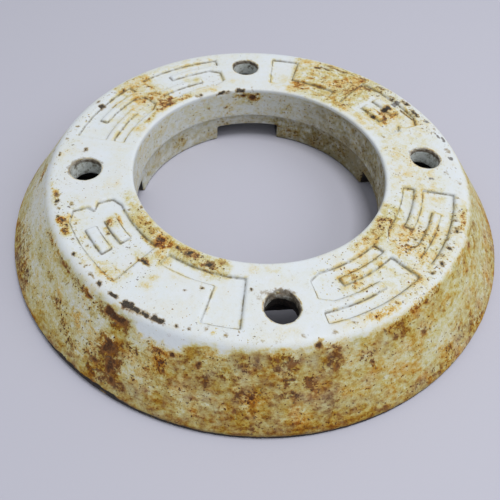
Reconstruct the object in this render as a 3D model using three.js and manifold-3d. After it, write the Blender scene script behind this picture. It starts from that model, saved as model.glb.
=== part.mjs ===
// Tractor wheel weight: one iron casting, a low ring with a coned outer wall,
// a wide central bore, four bolt holes over cored pockets, and a shallow cast-in
// weight marking. Millimetres, +Z up, origin at the centre of the seat.
import * as THREE from "three";
import { mergeVertices } from "three/addons/utils/BufferGeometryUtils.js";
import Module from "manifold-3d";

// ---- driving dimensions (mm, degrees) ----
const BASE_R = 203.2; // outside radius at the base, a 16 in casting
const HEIGHT = 55.0; // seat to top face
const BAND_H = 6.0; // upright band at the foot of the cone
const TOP_CORNER_R = 165.0; // where cone and top face would meet if sharp
const SHOULDER_R = 9.5; // round between cone and top face
const FOOT_BREAK = 2.4; // broken lower outer edge
const BORE_R = 101.6; // central bore, an 8 in opening
const BORE_LOW_R = 103.4; // the bore below its step
const STEP_Z = 26.0; // height of that step
const BORE_ROUND = 1.6; // rounded upper edge of the bore
const BORE_FOOT_BREAK = 1.2; // broken lower edge of the bore
const BOLT_PCR = 138.0; // bolt circle radius
const BOLT_R = 11.7; // bolt hole radius
const BOLT_COUNT = 4;
const PLATE_T = 16.0; // metal left over each pocket
const POCKET_IN = 115.2; // axis to the pocket's inner wall, the back of the bridge
const POCKET_OUT = 160.0; // axis to the pocket's outer wall
const POCKET_W = 76.0; // pocket's width across
const NOTCH_W = 59.0; // width of the notch under the bridge
const NOTCH_H = 14.4; // and its height
const MARK_IN_R = 114.5; // foot of the marking
const MARK_OUT_R = 155.0; // top of the marking
const MARK_HALF = 14.6; // half angle of one character
const MARK_DEPTH = 2.4;
const MARK_NEAR = 25.0; // a character's offset from the bolt holes on Y
const MARK_FAR = 30.5; // and from the bolt holes on X
const TURN_STEPS = 96; // facets around the ring

const wasm = await Module();
wasm.setup();
const D2R = Math.PI / 180;

function toSolid(geometry) {
  const g = geometry.index ? geometry.toNonIndexed() : geometry.clone();
  g.deleteAttribute("normal");
  g.deleteAttribute("uv");
  const m = mergeVertices(g, 1e-4);
  const pos = m.attributes.position;
  const src = m.index.array;
  const tri = [];
  for (let i = 0; i < src.length; i += 3) {
    const [a, b, c] = [src[i], src[i + 1], src[i + 2]];
    if (a !== b && b !== c && a !== c) tri.push(a, b, c);
  }
  const solid = new wasm.Manifold(
    new wasm.Mesh({
      numProp: 3,
      vertProperties: new Float32Array(pos.array),
      triVerts: new Uint32Array(tri),
    }),
  );
  if (solid.volume() <= 0) throw new Error("a solid is inside out");
  return solid;
}

function toGeometry(solid) {
  const mesh = solid.getMesh();
  const g = new THREE.BufferGeometry();
  const p = new Float32Array((mesh.vertProperties.length / mesh.numProp) * 3);
  for (let i = 0; i < p.length / 3; i++)
    for (let k = 0; k < 3; k++) p[3 * i + k] = mesh.vertProperties[i * mesh.numProp + k];
  g.setAttribute("position", new THREE.BufferAttribute(p, 3));
  g.setIndex(Array.from(mesh.triVerts));
  g.computeVertexNormals();
  return g;
}

// ---- the ring: one closed section turned about Z ----
function ringSection() {
  const v = (r, z) => new THREE.Vector2(r, z);
  const pts = [v(BASE_R - FOOT_BREAK, 0), v(BASE_R, FOOT_BREAK), v(BASE_R, BAND_H)];
  // shoulder: an arc tangent to the cone and to the top face
  const dr = BASE_R - TOP_CORNER_R;
  const dz = HEIGHT - BAND_H;
  const wall = Math.atan2(dz, dr); // cone's angle from the horizontal
  const reach = SHOULDER_R * Math.tan(wall / 2);
  const cr = TOP_CORNER_R - reach;
  const cz = HEIGHT - SHOULDER_R;
  const steps = 5;
  for (let i = 0; i <= steps; i++) {
    const a = Math.PI / 2 - wall + (wall * i) / steps;
    pts.push(v(cr + SHOULDER_R * Math.cos(a), cz + SHOULDER_R * Math.sin(a)));
  }
  // bore: rounded upper edge, step, broken lower edge
  for (let i = 0; i <= 2; i++) {
    const a = Math.PI / 2 + (Math.PI / 4) * i;
    pts.push(v(BORE_R + BORE_ROUND + BORE_ROUND * Math.cos(a), HEIGHT - BORE_ROUND + BORE_ROUND * Math.sin(a)));
  }
  pts.push(v(BORE_R, STEP_Z), v(BORE_LOW_R, STEP_Z));
  pts.push(v(BORE_LOW_R, BORE_FOOT_BREAK), v(BORE_LOW_R + BORE_FOOT_BREAK, 0));
  pts.push(pts[0].clone());
  return pts;
}

function lathe(points, steps) {
  const g = new THREE.LatheGeometry(points, steps);
  g.rotateX(Math.PI / 2);
  return g;
}

// a closed outline given as [radius, angle] corners, with its arcs followed
function polarShape(corners, stepDeg = 3.75) {
  const s = new THREE.Shape();
  addPath(s, corners, stepDeg);
  return s;
}
function addPath(path, corners, stepDeg) {
  corners.forEach(([r0, a0], i) => {
    const [r1, a1] = corners[(i + 1) % corners.length];
    const n = Math.max(1, Math.ceil(Math.abs(a1 - a0) / stepDeg - 1e-6));
    for (let k = 0; k < n; k++) {
      const t = k / n;
      const r = r0 + (r1 - r0) * t;
      const a = (a0 + (a1 - a0) * t) * D2R;
      const [x, y] = [r * Math.cos(a), r * Math.sin(a)];
      if (i === 0 && k === 0) path.moveTo(x, y);
      else path.lineTo(x, y);
    }
  });
  path.closePath();
}

function prism(shape, z0, z1) {
  const g = new THREE.ExtrudeGeometry(shape, { depth: z1 - z0, bevelEnabled: false, curveSegments: 8 });
  g.translate(0, 0, z0);
  return toSolid(g);
}

// a box from x0 to x1 along its own radius, centred on it, turned to angle mid
function radialBox(x0, x1, width, mid, z0, z1) {
  const g = new THREE.BoxGeometry(x1 - x0, width, z1 - z0);
  g.translate((x0 + x1) / 2, 0, (z0 + z1) / 2);
  g.rotateZ(mid * D2R);
  return toSolid(g);
}

// ---- block characters of the weight marking, on a unit square, x to the right ----
const FIVE = {
  outer: [[0, 1], [0, 0.38], [0.67, 0.38], [0.67, 0.24], [0, 0.24], [0, 0], [0.86, 0], [1, 0.12], [1, 0.5], [0.86, 0.62], [0.33, 0.62], [0.33, 0.76], [1, 0.76], [1, 1]],
  holes: [],
};
const ELL = {
  outer: [[0, 1], [0, 0], [1, 0], [1, 0.27], [0.34, 0.27], [0.34, 1]],
  holes: [],
};
const BEE = {
  outer: [[0, 1], [0, 0], [0.86, 0], [1, 0.12], [1, 0.41], [0.9, 0.51], [0.97, 0.6], [0.97, 0.88], [0.83, 1]],
  holes: [
    [[0.33, 0.6], [0.67, 0.6], [0.67, 0.78], [0.33, 0.78]],
    [[0.33, 0.22], [0.69, 0.22], [0.69, 0.41], [0.33, 0.41]],
  ],
};

// a character reads clockwise from above, with its top outward
function character(glyph, mid) {
  const place = ([x, y]) => [MARK_IN_R + (MARK_OUT_R - MARK_IN_R) * y, mid + MARK_HALF * (1 - 2 * x)];
  const shape = polarShape(glyph.outer.map(place), 5);
  for (const hole of glyph.holes) {
    const p = new THREE.Path();
    addPath(p, hole.map(place), 5);
    shape.holes.push(p);
  }
  return prism(shape, HEIGHT - MARK_DEPTH, HEIGHT + 2);
}

let casting = toSolid(lathe(ringSection(), TURN_STEPS));

for (let i = 0; i < BOLT_COUNT; i++) {
  const a = (360 / BOLT_COUNT) * i;
  const hole = new THREE.CylinderGeometry(BOLT_R, BOLT_R, HEIGHT + 10, 24);
  hole.rotateX(Math.PI / 2);
  hole.translate(BOLT_PCR * Math.cos(a * D2R), BOLT_PCR * Math.sin(a * D2R), HEIGHT / 2);
  casting = casting.subtract(toSolid(hole));
  casting = casting.subtract(radialBox(POCKET_IN, POCKET_OUT, POCKET_W, a, -5, HEIGHT - PLATE_T));
  casting = casting.subtract(radialBox(BORE_LOW_R - 20, POCKET_IN + 3, NOTCH_W, a, -5, NOTCH_H));
}

// the marking stands twice around, in pairs between the bolt holes
const MARKING = [
  [FIVE, -MARK_FAR],
  [FIVE, -90 + MARK_NEAR],
  [ELL, -90 - MARK_NEAR],
  [BEE, -180 + MARK_FAR],
];
for (const [glyph, mid] of MARKING)
  for (const turn of [0, 180]) casting = casting.subtract(character(glyph, mid + turn));

const paintedIron = new THREE.MeshStandardMaterial({ color: 0xdcddd4, roughness: 0.72, metalness: 0.0 });
const mesh = new THREE.Mesh(toGeometry(casting), paintedIron);
mesh.name = "weight_casting";

const part = new THREE.Group();
part.add(mesh);
export default part;
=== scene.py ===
import math
import bpy
import numpy as np
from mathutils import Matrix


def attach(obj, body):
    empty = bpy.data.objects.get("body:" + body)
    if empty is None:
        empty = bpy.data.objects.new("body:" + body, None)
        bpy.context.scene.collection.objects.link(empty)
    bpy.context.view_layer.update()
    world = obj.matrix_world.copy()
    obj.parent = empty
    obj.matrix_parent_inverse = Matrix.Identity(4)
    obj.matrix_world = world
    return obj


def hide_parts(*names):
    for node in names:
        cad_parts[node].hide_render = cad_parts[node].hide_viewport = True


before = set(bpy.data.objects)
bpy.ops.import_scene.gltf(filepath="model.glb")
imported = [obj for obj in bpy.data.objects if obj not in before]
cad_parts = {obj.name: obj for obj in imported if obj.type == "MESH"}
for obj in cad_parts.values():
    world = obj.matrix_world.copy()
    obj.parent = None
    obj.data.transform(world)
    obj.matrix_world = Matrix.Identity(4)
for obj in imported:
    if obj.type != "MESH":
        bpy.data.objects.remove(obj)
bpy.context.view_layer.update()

import openvdb
from mathutils import Matrix, Vector

# ------------------------------------------------------------------ sizes, mm
R = 203.2          # base radius
H = 55.0           # height
BAND = 6.0
TOP_R = 165.2
SHOULDER = 9.5
BORE = 101.3
BORE_LOW = 103.4
STEP = 26.0
BOLT_PCR = 138.0
BOLT = 11.7
PLATE = 16.0
POCKET = (115.2, 160.0, 38.0)      # inner wall, outer wall, half width
NOTCH = (29.5, 14.4)               # half width, height
MARK_IN, MARK_OUT, MARK_HALF, MARK_D = 114.5, 155.0, 14.6, 2.4
MARK_NEAR, MARK_FAR = 25.0, 30.5
HOLES = [(BOLT_PCR * math.cos(a), BOLT_PCR * math.sin(a)) for a in (0, math.pi / 2, math.pi, -math.pi / 2)]
PITCH = 1.15


# ------------------------------------------------------------- seeded noise
def _hash(ix, iy, iz, seed):
    h = (ix.astype(np.int64) * 374761393 + iy.astype(np.int64) * 668265263
         + iz.astype(np.int64) * 2147483647 + seed * 1274126177) & 0xFFFFFFFF
    h = ((h ^ (h >> 13)) * 1274126177) & 0xFFFFFFFF
    h = ((h ^ (h >> 16)) * 2246822519) & 0xFFFFFFFF
    return (h ^ (h >> 15)) & 0xFFFFFFFF


def noise(p, scale, seed):
    """Smooth gradient noise, about -1 to 1, of points p in mm, with features scale mm across."""
    q = p / scale
    i = np.floor(q)
    f = q - i
    i = i.astype(np.int64)
    u = f * f * f * (f * (f * 6 - 15) + 10)
    out = 0.0
    for dx in (0, 1):
        for dy in (0, 1):
            for dz in (0, 1):
                h = _hash(i[:, 0] + dx, i[:, 1] + dy, i[:, 2] + dz, seed)
                gx = (h & 1023) / 511.5 - 1
                gy = ((h >> 10) & 1023) / 511.5 - 1
                gz = ((h >> 20) & 1023) / 511.5 - 1
                d = gx * (f[:, 0] - dx) + gy * (f[:, 1] - dy) + gz * (f[:, 2] - dz)
                w = (u[:, 0] if dx else 1 - u[:, 0]) * (u[:, 1] if dy else 1 - u[:, 1]) * (u[:, 2] if dz else 1 - u[:, 2])
                out = out + w * d
    return out * 1.35


def fractal(p, scale, seed, octaves=4, gain=0.5):
    total, amp, norm = 0.0, 1.0, 0.0
    for k in range(octaves):
        total = total + amp * noise(p + 17.3 * k, scale / 2 ** k, seed + 31 * k)
        norm += amp
        amp *= gain
    return total / norm


def smooth01(e0, e1, x):
    t = np.clip((x - e0) / (e1 - e0), 0, 1)
    return t * t * (3 - 2 * t)


def smax(a, b, k):
    h = np.maximum(k - np.abs(a - b), 0)
    return np.maximum(a, b) + h * h / (4 * k)


# --------------------------------------------------- section of the ring, mm
def arc(cx, cy, r, a0, a1, n):
    return [(cx + r * math.cos(a0 + (a1 - a0) * i / n), cy + r * math.sin(a0 + (a1 - a0) * i / n)) for i in range(n + 1)]


def round_corners(pts, radii):
    """A closed outline with each corner rounded to its own radius."""
    out = []
    n = len(pts)
    for i in range(n):
        p, a, b, r = np.array(pts[i]), np.array(pts[i - 1]), np.array(pts[(i + 1) % n]), radii[i]
        if r <= 0:
            out.append(tuple(p))
            continue
        u, v = a - p, b - p
        u, v = u / np.linalg.norm(u), v / np.linalg.norm(v)
        half = math.acos(max(-1, min(1, float(u @ v)))) / 2
        reach = r / math.tan(half)
        c = p + (u + v) / np.linalg.norm(u + v) * (r / math.sin(half))
        s, e = p + u * reach - c, p + v * reach - c
        a0, a1 = math.atan2(s[1], s[0]), math.atan2(e[1], e[0])
        d = (a1 - a0 + math.pi) % (2 * math.pi) - math.pi
        m = max(3, int(abs(d) / math.radians(9)))
        out += [(c[0] + r * math.cos(a0 + d * k / m), c[1] + r * math.sin(a0 + d * k / m)) for k in range(m + 1)]
    return np.array(out)


section = round_corners(
    [(R, 0), (R, BAND), (TOP_R, H), (BORE, H), (BORE, STEP), (BORE_LOW, STEP - 0.6), (BORE_LOW, 0)],
    [0.6, 1.7, SHOULDER, 1.9, 0.9, 0.8, 1.2],
)


def outline_distance(px, py, rings, chunk=200000):
    """Signed distance from points to closed outlines, below 0 inside (even-odd)."""
    a = np.concatenate([np.asarray(r) for r in rings])
    b = np.concatenate([np.roll(np.asarray(r), -1, 0) for r in rings])
    out = np.empty(px.shape)
    for s in range(0, len(px), chunk):
        x, y = px[s:s + chunk, None], py[s:s + chunk, None]
        e = b - a
        t = np.clip(((x - a[:, 0]) * e[:, 0] + (y - a[:, 1]) * e[:, 1]) / np.maximum((e ** 2).sum(1), 1e-12), 0, 1)
        d = np.sqrt(((x - a[:, 0] - t * e[:, 0]) ** 2 + (y - a[:, 1] - t * e[:, 1]) ** 2).min(1))
        cross = (a[:, 1] > y) != (b[:, 1] > y)
        with np.errstate(divide="ignore", invalid="ignore"):
            xi = a[:, 0] + (y - a[:, 1]) * e[:, 0] / e[:, 1]
        inside = (cross & (x < xi)).sum(1) % 2 == 1
        out[s:s + chunk] = np.where(inside, -d, d)
    return out


class Table:
    """A 2-D field on a regular grid, read back by bilinear interpolation."""

    def __init__(self, x0, y0, step, values):
        self.x0, self.y0, self.step, self.v = x0, y0, step, values

    def __call__(self, x, y):
        u = np.clip((x - self.x0) / self.step, 0, self.v.shape[0] - 1.001)
        v = np.clip((y - self.y0) / self.step, 0, self.v.shape[1] - 1.001)
        i, j = u.astype(np.int64), v.astype(np.int64)
        fu, fv = u - i, v - j
        t = self.v
        return ((t[i, j] * (1 - fu) + t[i + 1, j] * fu) * (1 - fv) + (t[i, j + 1] * (1 - fu) + t[i + 1, j + 1] * fu) * fv)


def make_section_table():
    rs, zs = np.arange(88, 218, 0.3), np.arange(-8, 66, 0.3)
    g = np.stack(np.meshgrid(rs, zs, indexing="ij"), -1).reshape(-1, 2)
    return Table(rs[0], zs[0], 0.3, outline_distance(g[:, 0], g[:, 1], [section], 60000).reshape(len(rs), len(zs)))


# --------------------------------------- weight marking, in block characters
FIVE = [[(0, 1), (0, .38), (.67, .38), (.67, .24), (0, .24), (0, 0), (.86, 0), (1, .12), (1, .5), (.86, .62), (.33, .62), (.33, .76), (1, .76), (1, 1)]]
ELL = [[(0, 1), (0, 0), (1, 0), (1, .27), (.34, .27), (.34, 1)]]
BEE = [[(0, 1), (0, 0), (.86, 0), (1, .12), (1, .41), (.9, .51), (.97, .6), (.97, .88), (.83, 1)],
       [(.33, .6), (.67, .6), (.67, .78), (.33, .78)],
       [(.33, .22), (.69, .22), (.69, .41), (.33, .41)]]


def mark_outlines():
    rings = []
    for glyph, mid in ((FIVE, -MARK_FAR), (FIVE, -90 + MARK_NEAR), (ELL, -90 - MARK_NEAR), (BEE, -180 + MARK_FAR)):
        for turn in (0, 180):
            for ring in glyph:
                pts = []
                for (x0, y0), (x1, y1) in zip(ring, ring[1:] + ring[:1]):
                    n = max(1, int(abs(x1 - x0) * 2 * MARK_HALF / 2.5))
                    for k in range(n):
                        x, y = x0 + (x1 - x0) * k / n, y0 + (y1 - y0) * k / n
                        rr = MARK_IN + (MARK_OUT - MARK_IN) * y
                        a = math.radians(mid + turn + MARK_HALF * (1 - 2 * x))
                        pts.append((rr * math.cos(a), rr * math.sin(a)))
                rings.append(pts)
    return rings


def make_mark_table():
    s = np.arange(-162, 162.01, 0.5)
    g = np.stack(np.meshgrid(s, s, indexing="ij"), -1).reshape(-1, 2)
    rr = np.hypot(g[:, 0], g[:, 1])
    near = (rr > 108) & (rr < 162)
    d = np.full(len(g), 12.0)
    d[near] = outline_distance(g[near, 0], g[near, 1], mark_outlines(), 20000)
    return Table(s[0], s[0], 0.5, d.reshape(len(s), len(s)))


SECTION_T = make_section_table()
MARK_T = make_mark_table()


def box_distance(x, y, z, cx, cy, cz, hx, hy, hz, rad):
    qx, qy, qz = np.abs(x - cx) - hx + rad, np.abs(y - cy) - hy + rad, np.abs(z - cz) - hz + rad
    outside = np.sqrt(np.maximum(qx, 0) ** 2 + np.maximum(qy, 0) ** 2 + np.maximum(qz, 0) ** 2)
    return outside + np.minimum(np.maximum(np.maximum(qx, qy), qz), 0) - rad


def casting(x, y, z):
    """Signed distance to the casting's skin, mm, below 0 in the iron."""
    r = np.sqrt(x * x + y * y)
    f = SECTION_T(r, z)
    # recessed marking: drafted walls, soft floor corners
    draft = math.radians(24)
    side = (MARK_T(x, y) + (H - z) * math.tan(draft) - 0.35) * math.cos(draft)
    cut = smax(side, (H - MARK_D) - z, 1.0)
    f = smax(f, -cut, 0.9)
    for i, (hx, hy) in enumerate(HOLES):
        dx, dy = x - hx, y - hy
        d = np.sqrt(dx * dx + dy * dy) - BOLT
        # the near hole's edge is worn to a ragged slope on the side toward the bore
        wear = 3.2 * np.exp(-(((x - 1.0) / 9.0) ** 2 + ((y + BOLT_PCR - BOLT - 1.0) / 4.5) ** 2)) if i == 3 else 0.0
        f = smax(f, -(d - wear * np.clip((z - H + 5.5) / 5.5, 0, 1)), 2.2)
        along_x = i % 2 == 0
        sign = 1 if i < 2 else -1
        u, v = (x, y) if along_x else (y, x)
        c = sign * (POCKET[0] + POCKET[1]) / 2
        pocket = box_distance(u, v, z, c, 0.0, (PLATE_Z - 30) / 2, (POCKET[1] - POCKET[0]) / 2, POCKET[2], (PLATE_Z + 30) / 2, 6.0)
        f = smax(f, -pocket, 1.8)
        notch = box_distance(u, v, z, sign * 101.0, 0.0, (NOTCH[1] - 30) / 2, 18.0, NOTCH[0], (NOTCH[1] + 30) / 2, 2.2)
        f = smax(f, -notch, 1.6)
    return f


PLATE_Z = H - PLATE


def build_mesh():
    pad = 4
    n_xy = int(math.ceil(R / PITCH)) + pad
    xs = np.arange(-n_xy, n_xy + 1) * PITCH
    nz = int(math.ceil(H / PITCH)) + pad
    zs = np.arange(-pad, nz + 1) * PITCH
    X, Y = np.meshgrid(xs, xs, indexing="ij")
    rr = np.hypot(X, Y)
    vol = np.full((len(xs), len(xs), len(zs)), 3 * PITCH, np.float32)
    near = (rr > BORE - 5) & (rr < R + 5)
    x, y = X[near], Y[near]
    for k, z in enumerate(zs):
        vol[near, k] = np.clip(casting(x, y, np.full(x.shape, z)), -3 * PITCH, 3 * PITCH)
    grid = openvdb.FloatGrid(3 * PITCH)
    grid.copyFromArray(vol)
    pts, quads = grid.convertToQuads(0.0)
    p = pts.astype(float) * PITCH + np.array([xs[0], xs[0], zs[0]])
    return p, quads.astype(np.int64)


def gradient(p, e=0.25):
    g = np.empty_like(p)
    for k in range(3):
        a, b = p.copy(), p.copy()
        a[:, k] += e
        b[:, k] -= e
        g[:, k] = casting(*a.T) - casting(*b.T)
    return g / (2 * e)


P, QUADS = build_mesh()
for _ in range(3):
    f, g = casting(*P.T), gradient(P)
    step = f / np.maximum((g ** 2).sum(1), 0.2)
    P -= np.clip(step, -0.6, 0.6)[:, None] * g
N = gradient(P)
N /= np.maximum(np.linalg.norm(N, axis=1), 1e-9)[:, None]

# ------------------------------------------------ where a point is on the skin
# theta runs round the ring in degrees from +X. The second coordinate, run, is mm along the section from the bore's
# top edge: outward over the top face, then down the flank; below 0 it goes down the bore.
FLANK = math.sin(math.atan2(H - BAND, R - TOP_R))
TH = np.degrees(np.arctan2(P[:, 1], P[:, 0]))
RR = np.hypot(P[:, 0], P[:, 1])
ZZ = P[:, 2]
in_bore = (RR < BORE + 6) & (H - ZZ > 3.2)
RUN = np.where(in_bore, -(H - ZZ), np.where(RR < TOP_R - 7, RR - BORE, np.minimum(RR, TOP_R) - BORE + (H - ZZ) / FLANK))
skin = SECTION_T(RR, ZZ)
hole_d = np.min([np.hypot(P[:, 0] - hx, P[:, 1] - hy) for hx, hy in HOLES], axis=0) - BOLT
in_hole = smooth01(1.6, 0.2, hole_d) * smooth01(PLATE_Z - 3.5, PLATE_Z - 1.5, ZZ)
under = np.maximum(smooth01(-0.9, -1.8, skin) * smooth01(H - 3.6, H - 5.0, ZZ) * (1 - in_hole), smooth01(1.2, 0.2, ZZ))
on_flank = smooth01(TOP_R - 5, TOP_R + 2, RR) * smooth01(0.0, 2.5, H - ZZ)
on_top = smooth01(3.2, 2.6, H - ZZ) * (1 - on_flank) * (1 - in_bore)

WARP_A = 1.7 * noise(P, 11.0, 5) + 1.0 * noise(P, 4.2, 6) + 0.7 * noise(P, 2.6, 9)
WARP_B = 1.7 * noise(P, 11.0, 7) + 1.0 * noise(P, 4.2, 8) + 0.7 * noise(P, 2.6, 10)
N30, N12, N6, N3 = noise(P, 30.0, 11), noise(P, 12.0, 12), noise(P, 6.0, 13), noise(P, 3.0, 14)
order = np.argsort(TH, kind="stable")
TH_S, RR_S = TH[order], RR[order]
A_S, B_S = WARP_A[order], RUN[order] + WARP_B[order]


def top_run(r):
    return r - BORE


def flank_run(z):
    return TOP_R - BORE + (H - z) / FLANK


def bore_run(z):
    return -(H - z)


def lay(field, marks, soft, keep_max=True):
    """Adds soft-edged patches (theta0, theta1, run0, run1, amount) to a field, warped so their outlines wander."""
    for t0, t1, b0, b1, amount in marks:
        b0, b1 = min(b0, b1), max(b0, b1)
        pad = 7.0
        for turn in (-360, 0, 360):
            i0, i1 = np.searchsorted(TH_S, [t0 + turn - pad, t1 + turn + pad])
            if i1 <= i0:
                continue
            k = RR_S[i0:i1] * math.pi / 180
            a = (TH_S[i0:i1] - turn - (t0 + t1) / 2) * k + A_S[i0:i1]
            b = B_S[i0:i1] - (b0 + b1) / 2
            ha, hb = (t1 - t0) / 2 * k, (b1 - b0) / 2
            s_a, s_b = np.minimum(soft, ha * 0.9 + 0.35), min(soft, hb * 0.9 + 0.35)
            w = smooth01(0, 1, (ha - np.abs(a)) / s_a / 2 + 0.5) * smooth01(0, 1, (hb - np.abs(b)) / s_b / 2 + 0.5)
            ids = order[i0:i1]
            if keep_max:
                field[ids] = np.maximum(field[ids], amount * w)
            else:
                field[ids] += amount * w


def on(run, rows):
    return [(a, b, run(c), run(d), e) for a, b, c, d, e in rows]


# ------------------------------------------------------------ wear and stains
# yellowed paint, on the top face (theta, theta, radius, radius, amount)
YELLOW_TOP = [
    (2, 9, 103, 126, .45), (-15, -6, 106, 124, .2),
    (-176, -164, 112, 128, .18), (-168, -156, 140, 160, .2), (-150, -140, 134, 142, .2), (-124, -118, 126, 132, .2), (-98, -86, 152, 164, .16), (-92, -84, 108, 122, .18), (-82, -74, 112, 122, .25), (-56, -48, 104, 118, .35),
    (-48, -32, 128, 136, .4), (-46, -34, 143, 149, .4), (-20, -10, 104, 130, .25), (-14, -8, 128, 150, .2), (10, 20, 128, 145, .2), (84, 96, 150, 164, .2), (98, 108, 140, 160, .18), (150, 162, 118, 140, .18), (160, 176, 106, 118, .15), (166, 178, 150, 163, .2),
    (-166, -150, 104, 112, .75), (-154, -138, 102, 116, 1.), (-140, -107, 102.5, 116, 1.), (-164, -152, 102, 111, .7), (-134, -127, 112, 128, .75), (-115, -108, 112, 120, .7),
    (-157, -150, 122, 129, .7), (-130, -125.5, 134, 148, .45), (-142, -132, 124, 131, .5), (-142, -132, 144, 158, .4), (-156, -146, 150, 155, .35),
    (-175, -166, 158, 163, .45), (-162, -154, 156, 163, .6), (-100, -88, 105, 112, .3), (-72, -62, 120, 140, .45), (-70, -60, 104, 112, .35), (-76, -62, 156, 164, .3),
    (-60, -50, 104, 112, .65), (-52, -28, 103, 119, 1.), (-35, -10, 104, 116, .35), (-16, -12, 112, 145, .35), (-30, -18, 160, 166, .6), (-48, -44, 120, 156, .35),
    (0, 10, 106, 122, .5), (2, 8, 112, 120, .55), (10, 20, 106, 116, .5), (-5, 12, 104, 125, .35), (5, 9, 125, 140, .35), (13, 17, 140, 155, .35),
    (22, 34, 118, 128, .75), (22, 26, 120, 150, .75), (24, 36, 145, 155, .45), (30, 40, 108, 118, .55), (24, 40, 108, 112, .4), (33, 42, 146, 166, .5),
    (38, 61, 103, 166, .82), (15, 40, 150, 163, .4), (20, 60, 104, 120, .4),
    (60, 71, 104, 165, .7), (60, 70, 108, 125, .85), (71, 80, 108, 135, .3), (92, 100, 110, 118, .3), (105, 118, 104, 112, .4), (110, 116, 124, 136, .6),
    (108, 119, 114, 118, .4), (118, 140, 106, 112, .9), (126, 140, 108, 165, .6), (140, 160, 105, 112, .6), (118, 132, 155, 165, .35), (133, 148, 104, 150, .35), (-50, -30, 118, 154, .42), (-62, -52, 116, 150, .38), (-60, -20, 150, 163, .42), (-28, 10, 108, 150, .34), (8, 34, 108, 160, .34), (-42, -30, 134, 152, .35), (-66, -52, 150, 158, .3), (110, 124, 152, 165, .3), (124, 142, 120, 152, .3), (142, 150, 106, 130, .35), (58, 70, 150, 164, .5), (62, 70, 126, 140, .5),
]
RUST_TOP = [
    (-56, -34, 120, 156, .2),
    (-70, -60, 156, 165, .5), (-60, -50, 104, 112, .35), (-60, -56, 108, 118, .3), (-48, -42, 128, 140, .5), (-30, -24, 160, 165, .5), (-22, -16, 122, 132, .25),
    (-172, -168, 157, 163, .8), (-162, -155, 155, 163, .8), (-151, -143, 158, 164, .35), (-160, -152, 146, 153, .35), (-146, -138, 150, 158, .4),
    (-153, -146, 103, 108, .3), (-150, -138, 104, 110, .4), (-138, -130.5, 107, 115, .6), (-130, -126, 106, 110, .6), (-126, -118, 104, 110, .6),
    (-118, -110, 107, 114, .6), (-116, -111, 110, 116, .45), (-144, -136, 115, 118, .45), (-155, -152, 126, 132, .9), (-154, -150, 131, 136, .6),
    (-158, -151, 120.5, 122.5, .5), (-137, -131, 128.5, 133, 1.), (-160, -157, 155, 163, .8), (-171, -169, 157, 162, .7), (-176, -172, 160, 164, .5),
    (-137, -135, 152, 158, .6), (-139, -133, 154, 156.5, .5), (-140, -135, 145, 149, .45), (-68, -64, 122, 136, .45), (-67, -65, 118, 124, .4),
    (-107, -106, 159, 163, .7), (-84, -82, 164, 167, 1.), (-67, -65, 156, 160, .6),
    (-48, -44, 106, 110, .35), (-45, -37, 105, 114, .44), (-42, -39, 110, 117, .36), (-38, -35, 111, 115, .5), (-57, -55, 104, 107, .4),
    (-46, -33, 129, 133, .45), (-45, -34, 124, 126, .4), (-44, -33, 143, 146, .35), (-50, -45, 148, 152, .4), (-50, -44, 126, 136, .4), (-28, -22, 160, 163, .5),
    (24, 30, 128, 138, .75), (27, 31, 134, 144, .75), (21.5, 24, 124, 136, .45),
    (40, 48, 106, 122, .3), (42, 52, 118, 152, .3), (46, 50, 110, 130, .32), (44, 54, 130, 142, .28), (47, 52, 106, 118, .34), (52, 58, 108, 118, .25), (38, 44, 106, 114, .36),
    (40, 44, 148, 160, .25), (44, 54, 152, 162, .28), (36, 40, 106, 110, .3),
    (60, 64, 150, 153, .75), (62, 68, 108, 124, .45), (64, 67, 114, 126, .35), (61, 66, 130, 136, .4), (61, 64, 136, 148, .35),
    (118, 128, 106, 110, .45), (125, 131, 112, 120, .5), (128, 136, 107, 118, .7), (130, 134, 116, 126, .5), (134, 140, 108, 113, .6), (140, 143, 107, 110, .5),
    (129, 135, 124, 134, .45), (129, 131, 140, 148, .7), (132.5, 134, 146, 151, .5), (138, 150, 146.5, 149, .4), (133, 139, 130, 133, .5), (137, 147, 129.5, 132.5, .4),
    (140, 150, 108, 111, .4),
]
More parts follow.
